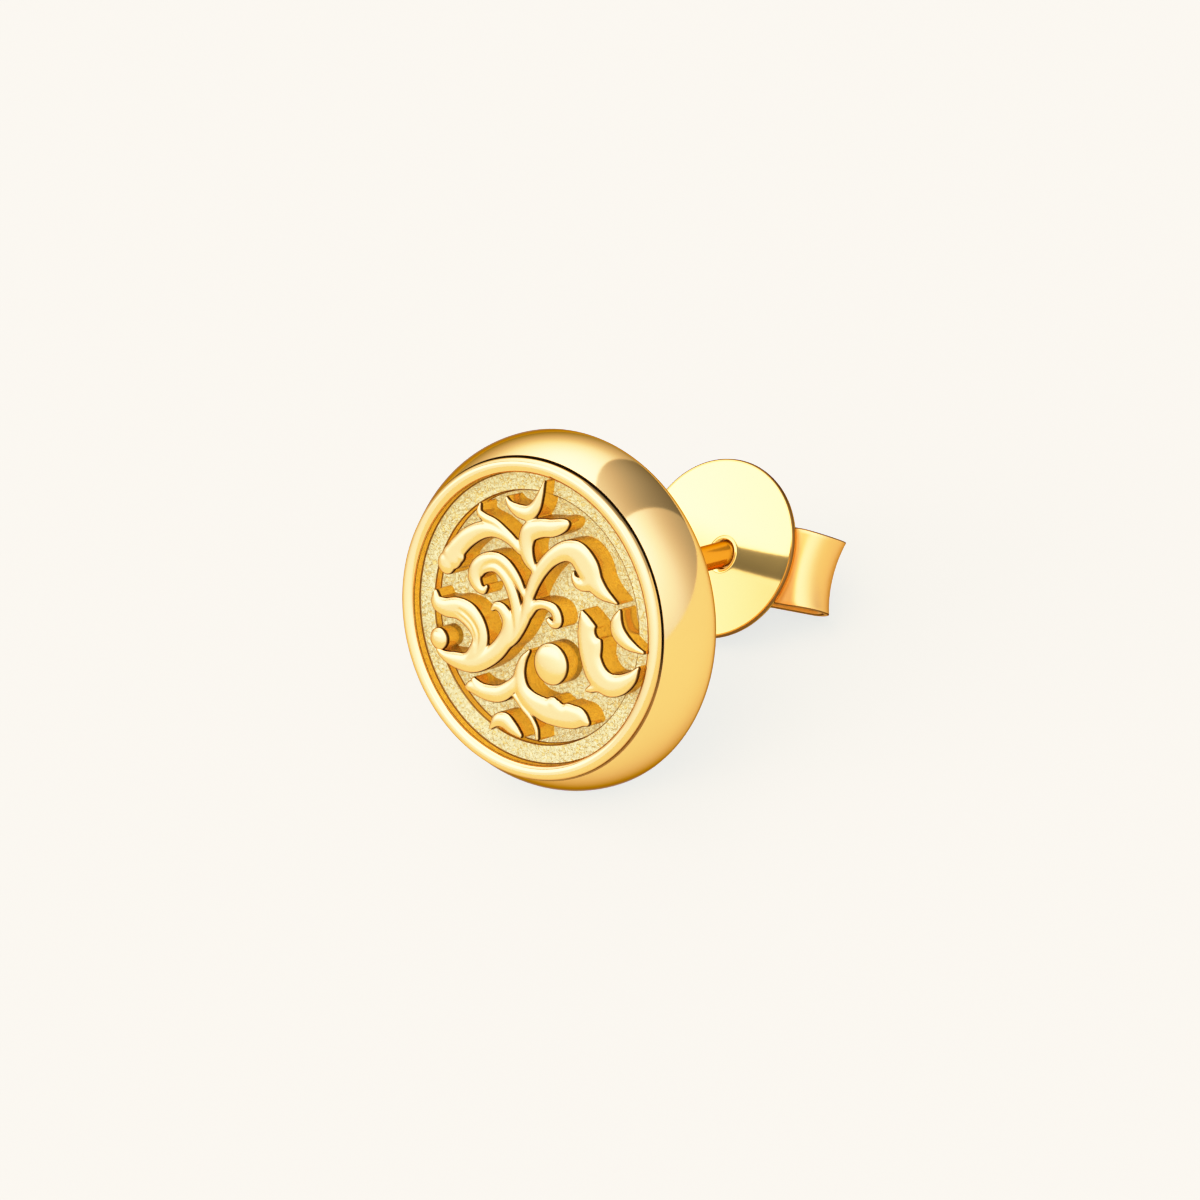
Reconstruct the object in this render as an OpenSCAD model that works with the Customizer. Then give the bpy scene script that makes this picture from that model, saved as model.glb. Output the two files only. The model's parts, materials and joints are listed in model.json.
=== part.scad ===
// Round gold stud earring with a raised scroll relief, shown with its butterfly back on the post.
// It lies unworn on a table: the head rests on the rounded back edge of its side wall, the butterfly
// back rests on the lower rear corners of its two curled ears, and the face looks up and forwards.
// Lengths are in millimetres. The head's own frame has its face towards +Z, its top towards +Y and
// the crest of its polished ring at Z = 0; lie_down() turns that frame into the resting position.

/* [Head] */
// Largest diameter of the head, where its side wall turns into the back edge
head_d = 10.95; // [10.4:0.05:12]
// Thickness of the head from the ring's crest to the flat back
head_t = 2.45; // [2.25:0.05:2.8]
// Radius of the rounded back edge
back_round = 0.6; // [0.4:0.05:0.7]
// Diameter of the side wall where it meets the polished ring
wall_top_d = 9.82; // [9.78:0.01:9.9]

/* [Ring and ground] */
// Diameter of the polished ring, measured at its crest
ring_d = 9.32; // [9.28:0.01:9.36]
// Radius of the ring's round section
ring_bead_r = 0.2; // [0.18:0.01:0.22]
// Depth of the frosted ledge inside the ring
ledge_z = 0.4; // [0.35:0.05:0.45]
// Diameter of the sunk ground that carries the relief
field_d = 7.68; // [7.6:0.02:7.8]
// Depth of the sunk ground below the ring's crest
field_z = 0.7; // [0.6:0.05:0.9]

/* [Relief] */
// Height of the scrolls above the sunk ground
relief_h = 0.78; // [0.6:0.02:0.8]
// Place of the relief's own zero point on the face
relief_at = [0.19, 0.07];
// Rise of the rounded top of each bead between the scrolls
bead_rise = 0.3; // [0.2:0.02:0.32]

/* [Post] */
// Diameter of the post
post_d = 0.8; // [0.7:0.05:0.9]
// Length of the post behind the head
post_len = 10.5; // [9.5:0.25:11]
// Place of the post on the head's back, right of and above the middle
post_at = [0.15, 0.49];

/* [Butterfly back] */
// Diameter of the round plate
plate_d = 5.7; // [5.4:0.1:6]
// Thickness of the sheet
sheet_t = 0.2; // [0.18:0.01:0.25]
// Depth of the plate's dish
dish_depth = 0.3; // [0.2:0.05:0.4]
// Diameter of the hole for the post
hole_d = 1.1; // [1.05:0.05:1.3]
// Width of each ear at the plate
ear_w = 2.44; // [2.2:0.02:2.6]
// Width of each ear where it turns back
ear_end_w = 2.3; // [2:0.02:2.4]
// Outer height of an ear's curl
ear_curl = 1.8; // [1.6:0.05:1.9]
// Reach of an ear from the middle of the plate
ear_reach = 3.7; // [3.5:0.05:3.9]
// Gap between the post and each curl
grip_gap = 0.03; // [0.02:0.01:0.1]
// Distance from the head's back to the plate's hole
back_at = 7.2; // [6.8:0.05:7.6]
// Lean of the plate on the post, about the line through both ears
back_lean = 20.4; // [10:0.1:21]

/* [Hidden] */
$fn = 96;

gold = [0.93, 0.74, 0.36];
gold_bright = [0.97, 0.82, 0.45];
eps = 0.02;
// Reach of a cutting shape past the surface that it cuts
past = 3;
// Number of sides of the large turned shapes, and of the flat arcs in the sections
turned_fn = 128;
arc_fn = 512;

// Side wall: one arc that bulges from wall_top_d out to head_d, then the rounded back edge
wall_top_z = 0.25;
wall_belly_z = head_t - back_round;
edge_mid = head_d / 2 - back_round;
wall_rise = (head_d - wall_top_d) / 2;
wall_run = wall_belly_z - wall_top_z;
wall_arc = (wall_run * wall_run + wall_rise * wall_rise) / (2 * wall_rise);
wall_mid = head_d / 2 - wall_arc;
ring_inner_r = ring_d / 2 - ring_bead_r;

// Ears: outer radius of a curl, and the middle of its round end
curl_r = ear_curl / 2;
curl_x = ear_reach - curl_r;
// The top of a curl lies just behind the plate's rim
curl_top = dish_depth - sheet_t;
// Radius of the lip that presses on the post, and its middle
lip_r = 0.62;
lip_x = post_d / 2 + grip_gap + lip_r;
// Length of ear that lies on the back of the plate
ear_root = 0.9;
// The plate's middle lies a little beside its hole
plate_at = [-0.1, 0.13];

// Resting attitude: the floor touches the rounded back edge and the lower rear corner of each ear.
// The corner is worked out in the head's frame, and rest_lean is how far the post dips at the back.
corner_low = -ear_w / 2;
corner_back = curl_top - ear_curl;
corner_y = post_at[1] + corner_low * cos(back_lean) + corner_back * sin(back_lean);
corner_z = -head_t - back_at - corner_low * sin(back_lean) + corner_back * cos(back_lean);
to_edge_y = -edge_mid - corner_y;
to_edge_z = -wall_belly_z - corner_z;
rest_lean = atan2(to_edge_z, to_edge_y) - acos(back_round / norm([to_edge_y, to_edge_z]));
rest_lift = -corner_y * cos(rest_lean) - corner_z * sin(rest_lean);
front_y = -ring_d / 2 * sin(rest_lean) + ring_bead_r * cos(rest_lean) - ring_bead_r;
tip_y = post_at[1] * sin(rest_lean) + (head_t + post_len - post_d / 2) * cos(rest_lean) + post_d / 2;
rest_shift = -(front_y + tip_y) / 2;

// Relief: each scroll is a middle line with one row per bend: [x, y, half width]
// Main branch to the right, with its hook
branch = [[-0.1, 0.6, 0.17], [0.12, 1.15, 0.21], [0.42, 1.62, 0.23], [0.82, 2.02, 0.25],
    [1.28, 2.26, 0.3], [1.72, 2.22, 0.38], [2.06, 1.9, 0.42], [2.32, 1.5, 0.33], [2.65, 1.22, 0.22],
    [3.0, 1.06, 0.1], [3.2, 0.98, 0.03]];
branch_hook = [[2.1, 1.55, 0.28], [1.82, 1.34, 0.17], [1.6, 1.45, 0.1], [1.56, 1.68, 0.03]];
// Upper scroll with a round end
upper_scroll = [[0.12, 1.5, 0.1], [-0.14, 1.85, 0.22], [-0.22, 2.25, 0.27], [-0.1, 2.62, 0.3],
    [0.28, 2.8, 0.28], [0.75, 2.87, 0.26], [1.12, 3.0, 0.2], [1.3, 3.08, 0.1]];
// Horned crescent at the top
top_crescent = [[-0.98, 3.52, 0.05], [-0.82, 3.33, 0.12], [-0.5, 3.2, 0.2], [-0.14, 3.2, 0.22],
    [0.1, 3.4, 0.19], [0.27, 3.76, 0.12], [0.42, 4.2, 0.03]];
// Slender leaf and the broad arc below it
slender_leaf = [[-1.97, 3.2, 0.04], [-2.0, 2.96, 0.1], [-1.78, 2.82, 0.12], [-1.38, 2.72, 0.11],
    [-1.0, 2.52, 0.1], [-0.6, 2.22, 0.1]];
broad_arc = [[-0.45, 2.05, 0.14], [-0.9, 2.34, 0.17], [-1.4, 2.48, 0.2], [-1.9, 2.42, 0.25],
    [-2.4, 2.16, 0.3], [-2.78, 1.8, 0.32], [-3.05, 1.42, 0.32], [-3.25, 1.14, 0.27]];
arc_foot = [[-3.55, 1.12, 0.08], [-3.25, 1.1, 0.2], [-2.92, 1.08, 0.12]];
// Double curl left of the middle: outer band and inner band
outer_curl = [[-0.26, 0.72, 0.1], [-0.55, 1.14, 0.16], [-0.9, 1.48, 0.18], [-1.3, 1.65, 0.17],
    [-1.75, 1.58, 0.18], [-2.1, 1.3, 0.18], [-2.22, 0.95, 0.16], [-2.05, 0.66, 0.13],
    [-1.8, 0.58, 0.09], [-1.68, 0.72, 0.04]];
inner_curl = [[-1.86, 1.08, 0.04], [-1.7, 1.28, 0.11], [-1.35, 1.36, 0.15], [-1.0, 1.15, 0.17],
    [-0.75, 0.8, 0.19], [-0.58, 0.4, 0.2], [-0.5, 0.0, 0.2], [-0.5, -0.4, 0.16], [-0.6, -0.9, 0.05]];
// Stem below the fork, and the small hook that leaves it
stem = [[-0.1, 0.8, 0.08], [-0.1, 0.45, 0.2], [-0.18, 0.05, 0.22], [-0.34, -0.4, 0.18],
    [-0.55, -0.9, 0.08]];
small_hook = [[-0.05, 0.2, 0.15], [0.2, 0.46, 0.14], [0.55, 0.52, 0.13], [0.9, 0.4, 0.17],
    [1.02, 0.1, 0.17], [0.85, -0.03, 0.1], [0.66, 0.08, 0.07], [0.64, 0.28, 0.04]];
// Furrowed scroll at the left and the sweep that wraps under it
furrowed_scroll = [[-3.62, 0.26, 0.08], [-3.55, -0.05, 0.22], [-3.2, -0.14, 0.28],
    [-2.75, -0.1, 0.33], [-2.3, -0.25, 0.37], [-2.0, -0.6, 0.37], [-1.92, -1.0, 0.33],
    [-2.1, -1.4, 0.26], [-2.4, -1.6, 0.15]];
sweep = [[-3.62, -1.35, 0.04], [-3.3, -1.6, 0.13], [-2.8, -1.7, 0.24], [-2.2, -1.7, 0.28],
    [-1.7, -1.5, 0.28], [-1.2, -1.12, 0.28], [-0.86, -0.62, 0.27], [-0.83, -0.18, 0.23],
    [-1.05, 0.12, 0.18], [-1.3, 0.2, 0.12], [-1.45, 0.08, 0.05]];
// Leaves along the bottom
left_leaf = [[-2.4, -2.5, 0.05], [-2.1, -2.45, 0.17], [-1.6, -2.5, 0.24], [-1.1, -2.45, 0.25],
    [-0.7, -2.2, 0.22], [-0.5, -1.9, 0.12]];
left_lobe = [[-1.98, -2.14, 0.04], [-2.0, -2.3, 0.12], [-1.8, -2.45, 0.15]];
bottom_crescent = [[-0.02, -0.98, 0.04], [-0.25, -1.3, 0.13], [-0.36, -1.75, 0.2],
    [-0.25, -2.2, 0.26], [0.1, -2.5, 0.31], [0.6, -2.67, 0.37], [1.1, -2.7, 0.39],
    [1.6, -2.68, 0.35], [2.05, -2.75, 0.2], [2.5, -2.82, 0.03]];
small_leaf = [[-1.42, -3.55, 0.05], [-1.2, -3.3, 0.17], [-0.9, -3.25, 0.24], [-0.6, -3.42, 0.2],
    [-0.3, -3.6, 0.08]];
tendril = [[-0.5, -2.45, 0.08], [-0.2, -2.75, 0.08], [0.1, -3.0, 0.08], [0.3, -3.3, 0.08],
    [0.35, -3.58, 0.06]];
// Leaves at the right
right_crescent = [[1.93, 0.52, 0.05], [2.05, 0.15, 0.25], [2.14, -0.3, 0.34], [2.25, -0.8, 0.39],
    [2.5, -1.25, 0.39], [2.9, -1.5, 0.36], [3.35, -1.45, 0.3], [3.75, -1.2, 0.2],
    [4.02, -0.85, 0.04]];
crescent_barb = [[2.15, -1.8, 0.04], [2.35, -1.72, 0.11], [2.65, -1.6, 0.12]];
right_leaf = [[3.3, 0.75, 0.05], [3.2, 0.4, 0.17], [3.3, 0.1, 0.2], [3.6, -0.14, 0.17],
    [3.95, -0.28, 0.1], [4.2, -0.34, 0.04]];
scrolls = [branch, branch_hook, upper_scroll, top_crescent, slender_leaf, broad_arc, arc_foot,
    outer_curl, inner_curl, stem, small_hook, furrowed_scroll, sweep, left_leaf, left_lobe,
    bottom_crescent, small_leaf, tendril, right_crescent, crescent_barb, right_leaf];
// Round beads that stand between the scrolls: [x, y, radius]
beads = [[0.85, -1.22, 0.6], [-3.42, -1.14, 0.33]];
// Smooth steps from one bend of a scroll to the next
samples = 2;

// Point on the smooth curve through rows a, b, c and d, between b and c
function between(a, b, c, d, t) = 0.5 * (2 * b + (c - a) * t
    + (2 * a - 5 * b + 4 * c - d) * t * t + (3 * b - a - 3 * c + d) * t * t * t);

// All rows of a scroll with smooth rows between them
function smooth(rows) = let (last = len(rows) - 1) [
    for (i = [0 : last - 1]) for (k = [0 : samples - 1])
        between(rows[max(i - 1, 0)], rows[i], rows[i + 1], rows[min(i + 2, last)], k / samples),
    rows[last]
];

// Unit vector across the middle line at row i
function across(path, i) = let (
    a = path[max(i - 1, 0)], b = path[min(i + 1, len(path) - 1)],
    run = [b[0] - a[0], b[1] - a[1]]
) [-run[1], run[0]] / norm(run);

// Outline of a scroll, out along one side of its middle line and back along the other
function outline(path) = let (last = len(path) - 1) concat(
    [for (i = [0 : last]) [path[i][0], path[i][1]] + across(path, i) * path[i][2]],
    [for (i = [last : -1 : 0]) [path[i][0], path[i][1]] - across(path, i) * path[i][2]]
);

module relief() {
    translate([relief_at[0], relief_at[1], -field_z - eps]) linear_extrude(relief_h + eps) {
        for (rows = scrolls) polygon(outline(smooth(rows)));
    }
}

module bead(row) {
    ball_r = (row[2] * row[2] + bead_rise * bead_rise) / (2 * bead_rise);
    translate([relief_at[0] + row[0], relief_at[1] + row[1], -field_z - eps]) intersection() {
        cylinder(h = relief_h + eps, r = row[2]);
        translate([0, 0, relief_h + eps - ball_r]) sphere(ball_r);
    }
}

// Side wall, rounded back edge and flat back, as half of the head's section
module wall_section() {
    intersection() {
        translate([wall_mid, -wall_belly_z]) circle(wall_arc, $fn = arc_fn);
        translate([wall_mid, -wall_belly_z]) square([wall_arc, wall_run]);
    }
    intersection() {
        translate([edge_mid, -wall_belly_z]) circle(back_round, $fn = arc_fn);
        translate([edge_mid, -head_t]) square([back_round, back_round + eps]);
    }
    translate([0, -wall_belly_z - eps]) square([wall_mid + eps, wall_run + eps]);
    translate([0, -head_t]) square([edge_mid + eps, back_round + eps]);
}

module head_casting() {
    difference() {
        union() {
            rotate_extrude($fn = turned_fn) wall_section();
            rotate_extrude($fn = turned_fn) translate([ring_d / 2, -ring_bead_r]) circle(ring_bead_r);
        }
        translate([0, 0, -ledge_z]) cylinder(h = past, r = ring_inner_r, $fn = turned_fn);
        translate([0, 0, -field_z]) cylinder(h = past, d = field_d, $fn = turned_fn);
    }
}

module post() {
    post_r = post_d / 2;
    translate([post_at[0], post_at[1], -head_t - post_len + post_r]) {
        cylinder(h = post_len - post_r + eps, r = post_r);
        sphere(post_r);
    }
}

module dish() {
    plate_r = plate_d / 2;
    dish_r = (plate_r * plate_r + dish_depth * dish_depth) / (2 * dish_depth);
    rotate_extrude($fn = turned_fn) intersection() {
        translate([0, dish_r]) difference() {
            circle(dish_r + sheet_t, $fn = arc_fn);
            circle(dish_r, $fn = arc_fn);
        }
        translate([0, -past]) square([plate_r, 2 * past]);
    }
}

// Side view of an ear: out from the plate, round the curl, back to the post and over the lip
module ear_section() {
    inner_r = curl_r - sheet_t;
    lip_inner = lip_r - sheet_t;
    translate([curl_x, curl_top - curl_r]) difference() {
        circle(curl_r);
        circle(inner_r);
        translate([-2 * curl_r, -2 * curl_r]) square([2 * curl_r, 4 * curl_r]);
    }
    root_x = plate_d / 2 - ear_root;
    translate([root_x, curl_top - sheet_t]) square([curl_x - root_x, sheet_t]);
    translate([lip_x, curl_top - ear_curl]) square([curl_x - lip_x, sheet_t]);
    translate([lip_x, curl_top - ear_curl + lip_r]) difference() {
        circle(lip_r);
        circle(lip_inner);
        translate([0, -2 * lip_r]) square([2 * lip_r, 4 * lip_r]);
    }
}

// Plan of an ear: it narrows towards its turn
module ear_plan() {
    half = ear_w / 2;
    end = ear_end_w / 2;
    polygon([[0, -half], [0, half], [plate_d / 2, half], [ear_reach, end], [ear_reach, -end],
        [plate_d / 2, -half]]);
}

module ear() {
    intersection() {
        rotate([90, 0, 0]) translate([0, 0, -ear_w]) linear_extrude(2 * ear_w) ear_section();
        translate([0, 0, -past]) linear_extrude(2 * past) ear_plan();
    }
}

module clutch() {
    difference() {
        union() {
            translate([plate_at[0], plate_at[1], 0]) dish();
            ear();
            mirror([1, 0, 0]) ear();
        }
        translate([0, 0, -dish_depth]) cylinder(h = past, d = hole_d);
    }
}

module lie_down() {
    translate([0, rest_shift, rest_lift]) rotate([90 - rest_lean, 0, 0]) children();
}

module stud_head() {
    color(gold) lie_down() {
        head_casting();
        post();
        relief();
        for (row = beads) bead(row);
    }
}

module butterfly_back() {
    color(gold_bright) lie_down()
        translate([post_at[0], post_at[1], -head_t - back_at]) rotate([-back_lean, 0, 0]) clutch();
}

stud_head();
butterfly_back();
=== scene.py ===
import json
import math

import bpy
import numpy as np
from mathutils import Matrix, Vector


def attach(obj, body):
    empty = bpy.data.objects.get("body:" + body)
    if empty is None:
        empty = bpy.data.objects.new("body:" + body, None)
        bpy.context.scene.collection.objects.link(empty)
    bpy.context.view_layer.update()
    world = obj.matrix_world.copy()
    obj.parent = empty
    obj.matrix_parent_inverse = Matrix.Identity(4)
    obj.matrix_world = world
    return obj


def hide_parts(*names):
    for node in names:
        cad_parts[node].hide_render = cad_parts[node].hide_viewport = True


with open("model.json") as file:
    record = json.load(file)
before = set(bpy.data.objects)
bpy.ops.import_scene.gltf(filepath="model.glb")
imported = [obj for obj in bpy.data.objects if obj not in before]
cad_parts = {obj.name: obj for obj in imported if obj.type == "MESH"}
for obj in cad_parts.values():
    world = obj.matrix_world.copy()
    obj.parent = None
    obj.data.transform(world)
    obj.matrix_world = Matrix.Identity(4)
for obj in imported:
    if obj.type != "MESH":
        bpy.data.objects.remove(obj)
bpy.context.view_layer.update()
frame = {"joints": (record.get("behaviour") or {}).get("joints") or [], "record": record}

# Lengths are in millimetres in the head's own frame, as in the solids: the face looks along +Z, its top is
# towards +Y, and the crest of the polished ring is at Z = 0. add_piece() turns them into the part's frame.
MM = 0.001
HEAD_R = 5.475
HEAD_T = 2.45
BACK_ROUND = 0.6
BELLY_Z = BACK_ROUND - HEAD_T
WALL_TOP_R = 4.91
WALL_TOP_Z = -0.25
# Polished ring: radius of its crest, its reach outwards and inwards, and its fall to either side
RING_R = 4.66
RING_OUT = 0.2
RING_IN = 0.24
RING_FALL = 0.13
# Groove between the wall and the ring: its width, and how far the groove's painted shade climbs the ring
GROOVE_W = 0.02
GROOVE_SHADE_RISE = 0.05
LEDGE_Z = -0.43
FIELD_R = 3.84
FIELD_Z = -0.7
# Bottom of the relief, sunk a little into the ground
FOOT_Z = FIELD_Z - 0.03
RELIEF_AT = (0.17, 0.06)
POST_R = 0.4
POST_LEN = 10.5
POST_AT = (0.15, 0.49)
BACK_AT = 7.2
BACK_LEAN = math.radians(20.4)
PLATE_R = 2.85
PLATE_AT = (-0.1, 0.13)
SHEET_T = 0.2
RIM_ROUND = 0.05
DISH = 0.3
# Plate's hole: half widths, rise of its collar and depth of its rounded edge, and how far both reach, as
# shares of the hole's size
HOLE_X = 0.425
HOLE_Y = 0.47
COLLAR_RISE = 0.02
COLLAR_REACH = 0.15
HOLE_ROUND = 0.05
HOLE_ROUND_REACH = 0.05
# How far the post's slant moves the hole along Y for each length below the plate's face, and how far out
# from the hole's middle the back of the plate follows it, in hole sizes
HOLE_SLANT = math.tan(BACK_LEAN)
SLANT_REACH = 1.5
# Ear: half widths at the plate and at the turn, height of the curl, reach from the post, depth of the waist
# and where it starts, and where the ear starts, both inwards from the plate's rim
EAR_HALF = 1.22
EAR_END_HALF = 1.15
EAR_CURL = 1.8
EAR_REACH = 3.7
EAR_WAIST = 0.22
EAR_WAIST_AT = 0.15
EAR_ROOT = 0.9
EAR_BEVEL = 0.04
# Radius of the lip that presses on the post, and its gap from the post
LIP_R = 0.62
GRIP_GAP = 0.03
# A length below this counts as none
TINY = 1e-6

# The resting place comes from the frame: the slide's axis and the seat between the head and the back.
slide_axis = Vector(frame["joints"][0]["axis"]).normalized()
seat = Vector(frame["record"]["mounts"][0]["pos_m"])
lean = math.atan2(-slide_axis.z, slide_axis.y)
seat_in_head = Vector((POST_AT[0], POST_AT[1], -HEAD_T - BACK_AT / 2)) * MM
HEAD_FRAME = (
    Matrix.Translation(seat)
    @ Matrix.Rotation(math.pi / 2 - lean, 4, "X")
    @ Matrix.Translation(-seat_in_head)
)
BACK_FRAME = (
    HEAD_FRAME
    @ Matrix.Translation(Vector((POST_AT[0], POST_AT[1], -HEAD_T - BACK_AT)) * MM)
    @ Matrix.Rotation(-BACK_LEAN, 4, "X")
)


# Camera, at the photograph's angle
CAMERA_AZIMUTH = 44.17
CAMERA_ELEVATION = 32.41
CAMERA_ROLL = math.radians(16.65)
CAMERA_DISTANCE = 0.151706
CAMERA_TARGET = Vector((-0.000370, -0.001317, 0.003918))
FOCAL_MM = 150.0
SENSOR_MM = 36.0


def direction(azimuth, elevation):
    """Unit vector towards a place round the part, by its angles in degrees."""
    a, e = math.radians(azimuth), math.radians(elevation)
    return Vector((math.sin(a) * math.cos(e), -math.cos(a) * math.cos(e), math.sin(e)))


def add_camera():
    out = direction(CAMERA_AZIMUTH, CAMERA_ELEVATION)
    data = bpy.data.cameras.new("camera")
    data.lens = FOCAL_MM
    data.sensor_width = SENSOR_MM
    data.clip_start = 0.01
    data.clip_end = 20.0
    camera = bpy.data.objects.new("camera", data)
    bpy.context.scene.collection.objects.link(camera)
    level = out.to_track_quat("Z", "Y").to_matrix().to_4x4()
    roll = Matrix.Rotation(-CAMERA_ROLL, 4, "Z")
    camera.matrix_world = Matrix.Translation(CAMERA_TARGET + out * CAMERA_DISTANCE) @ level @ roll
    bpy.context.scene.camera = camera


# Meshes


def add_piece(name, verts, faces, body, materials, place, face_slots=None):
    """A smooth-shaded piece from points in millimetres; place turns them into the part's frame."""
    mesh = bpy.data.meshes.new(name)
    mesh.from_pydata([place @ (Vector(v) * MM) for v in verts], [], faces)
    for material in materials:
        mesh.materials.append(material)
    if face_slots is not None:
        mesh.polygons.foreach_set("material_index", face_slots)
    mesh.polygons.foreach_set("use_smooth", [True] * len(mesh.polygons))
    mesh.update()
    piece = bpy.data.objects.new(name, mesh)
    bpy.context.scene.collection.objects.link(piece)
    # The pieces are left out of the soft bounce light, so that the floor's shadow stays a plain grey
    piece.visible_diffuse = False
    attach(piece, body)
    return piece


def arc(cx, cz, radius, start, end, count):
    """Points of a round arc in a section, by angles in degrees from +X towards +Z."""
    angles = np.radians(np.linspace(start, end, count))
    return [(cx + radius * math.cos(a), cz + radius * math.sin(a)) for a in angles]


def revolve(section, turns, centre=(0.0, 0.0)):
    """Turns a section of (radius, height) rows about Z; a row of radius 0 becomes one point."""
    verts, rings = [], []
    for r, z in section:
        if r < TINY:
            rings.append([len(verts)])
            verts.append((centre[0], centre[1], z))
            continue
        rings.append(list(range(len(verts), len(verts) + turns)))
        for k in range(turns):
            a = 2 * math.pi * k / turns
            verts.append((centre[0] + r * math.cos(a), centre[1] + r * math.sin(a), z))
    faces, rows = [], []
    for i, (low, high) in enumerate(zip(rings, rings[1:])):
        for k in range(turns):
            n = (k + 1) % turns
            if len(low) == 1:
                faces.append((low[0], high[n], high[k]))
            elif len(high) == 1:
                faces.append((low[k], low[n], high[0]))
            else:
                faces.append((low[k], low[n], high[n], high[k]))
            rows.append(i)
    return verts, faces, rows


def join_rings(ring_count, points, closed=False):
    """Faces between each ring of points and the next, and from the last to the first where it is closed."""
    faces = []
    for i in range(ring_count if closed else ring_count - 1):
        j = (i + 1) % ring_count
        for k in range(points):
            n = (k + 1) % points
            faces.append((i * points + k, i * points + n, j * points + n, j * points + k))
    return faces


# Materials


GOLD = (0.97, 0.625, 0.245)
# Orange gold on the walls of the relief and of the head's recesses: painted reflection of the gold round
# them, and painted shade
WALL_REFLECTION_GOLD = (1.0, 0.58, 0.07)
# Darker gold painted in the hollows of the crinkles, as painted shade
HOLLOW_SHADE_GOLD = (0.97, 0.66, 0.22)
# Colour of the reflections at grazing angles
EDGE_TINT = (0.4, 0.24, 0.1, 1.0)
# Colour of the painted dark line of shade and dark reflection along the edges and in creases, and the
# distances from the edge, in millimetres, over which it fades out
EDGE_SHADE_COLOUR = (0.08, 0.035, 0.008)
EDGE_SHADE_FADE = (0.012, 0.04)
# Scales of the noises: slow drift of the colour, wipe marks, and the fine grain of most finishes
DRIFT_SCALE = 350.0
WIPE_SCALE = 1400.0
GRAIN_SCALE = 2500.0
# Part of the grain's range over which a crinkle's hollow turns to its crest, and its painted shade fades out
HOLLOW_SHADE_RANGE = (0.36, 0.5)
# Painted shade in the groove: near black high on the head, fading to a golden-brown painted shade further
# down: both colours, and the heights above the floor, in metres, between which it fades
GROOVE_DARK_SHADE = (0.012, 0.006, 0.002)
GROOVE_LIGHT_SHADE = (0.42, 0.22, 0.06)
GROOVE_SHADE_FADE = (4.0 * MM, 5.7 * MM)


def smooth_range(tree, value, start, end):
    """A smooth rise from 0 where the value is at the start to 1 where it is at the end."""
    node = tree.nodes.new("ShaderNodeMapRange")
    node.interpolation_type = "SMOOTHSTEP"
    node.inputs["From Min"].default_value = start
    node.inputs["From Max"].default_value = end
    tree.links.new(value, node.inputs["Value"])
    return node.outputs["Result"]


def mixed_colour(tree, share, low, high):
    """Blends two colours by a share from 0 to 1; the high one may also be a socket."""
    node = tree.nodes.new("ShaderNodeMix")
    node.data_type = "RGBA"
    node.inputs[6].default_value = (*low, 1.0)
    if isinstance(high, tuple):
        node.inputs[7].default_value = (*high, 1.0)
    else:
        tree.links.new(high, node.inputs[7])
    tree.links.new(share, node.inputs["Factor"])
    return node.outputs[2]


def noise(tree, place, scale, detail):
    """A noise in the part's own place, as its node."""
    node = tree.nodes.new("ShaderNodeTexNoise")
    node.inputs["Scale"].default_value = scale
    node.inputs["Detail"].default_value = detail
    tree.links.new(place, node.inputs["Vector"])
    return node


def drifting_colour(tree, place, colour):
    """A colour that drifts slowly by two percent either way."""
    darker = tuple(c * 0.98 for c in colour)
    brighter = tuple(min(1.0, c * 1.02) for c in colour)
    return mixed_colour(tree, noise(tree, place, DRIFT_SCALE, 2.0).outputs["Fac"], darker, brighter)


def crinkle_shaded_colour(tree, grain, colour):
    """A colour with painted shade, a darker gold, in the hollows of the crinkles."""
    brighter = tuple(min(1.0, c * 1.02) for c in colour)
    return mixed_colour(tree, smooth_range(tree, grain, *HOLLOW_SHADE_RANGE), HOLLOW_SHADE_GOLD, brighter)


def groove_painted_shade(tree, place, colour):
    """The groove's painted shade at each height: near black high up, golden brown lower down."""
    parts = tree.nodes.new("ShaderNodeSeparateXYZ")
    tree.links.new(place, parts.inputs["Vector"])
    return mixed_colour(tree, smooth_range(tree, parts.outputs["Z"], *GROOVE_SHADE_FADE), GROOVE_LIGHT_SHADE, colour)


def edge_shaded_colour(tree, colour):
    """Paints a dark line of shade and dark reflection within a hair of an edge; each point holds its
    distance from the edge.
    """
    edge = tree.nodes.new("ShaderNodeAttribute")
    edge.attribute_name = "edge_shade_distance"
    return mixed_colour(tree, smooth_range(tree, edge.outputs["Fac"], *EDGE_SHADE_FADE), EDGE_SHADE_COLOUR, colour)


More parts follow.
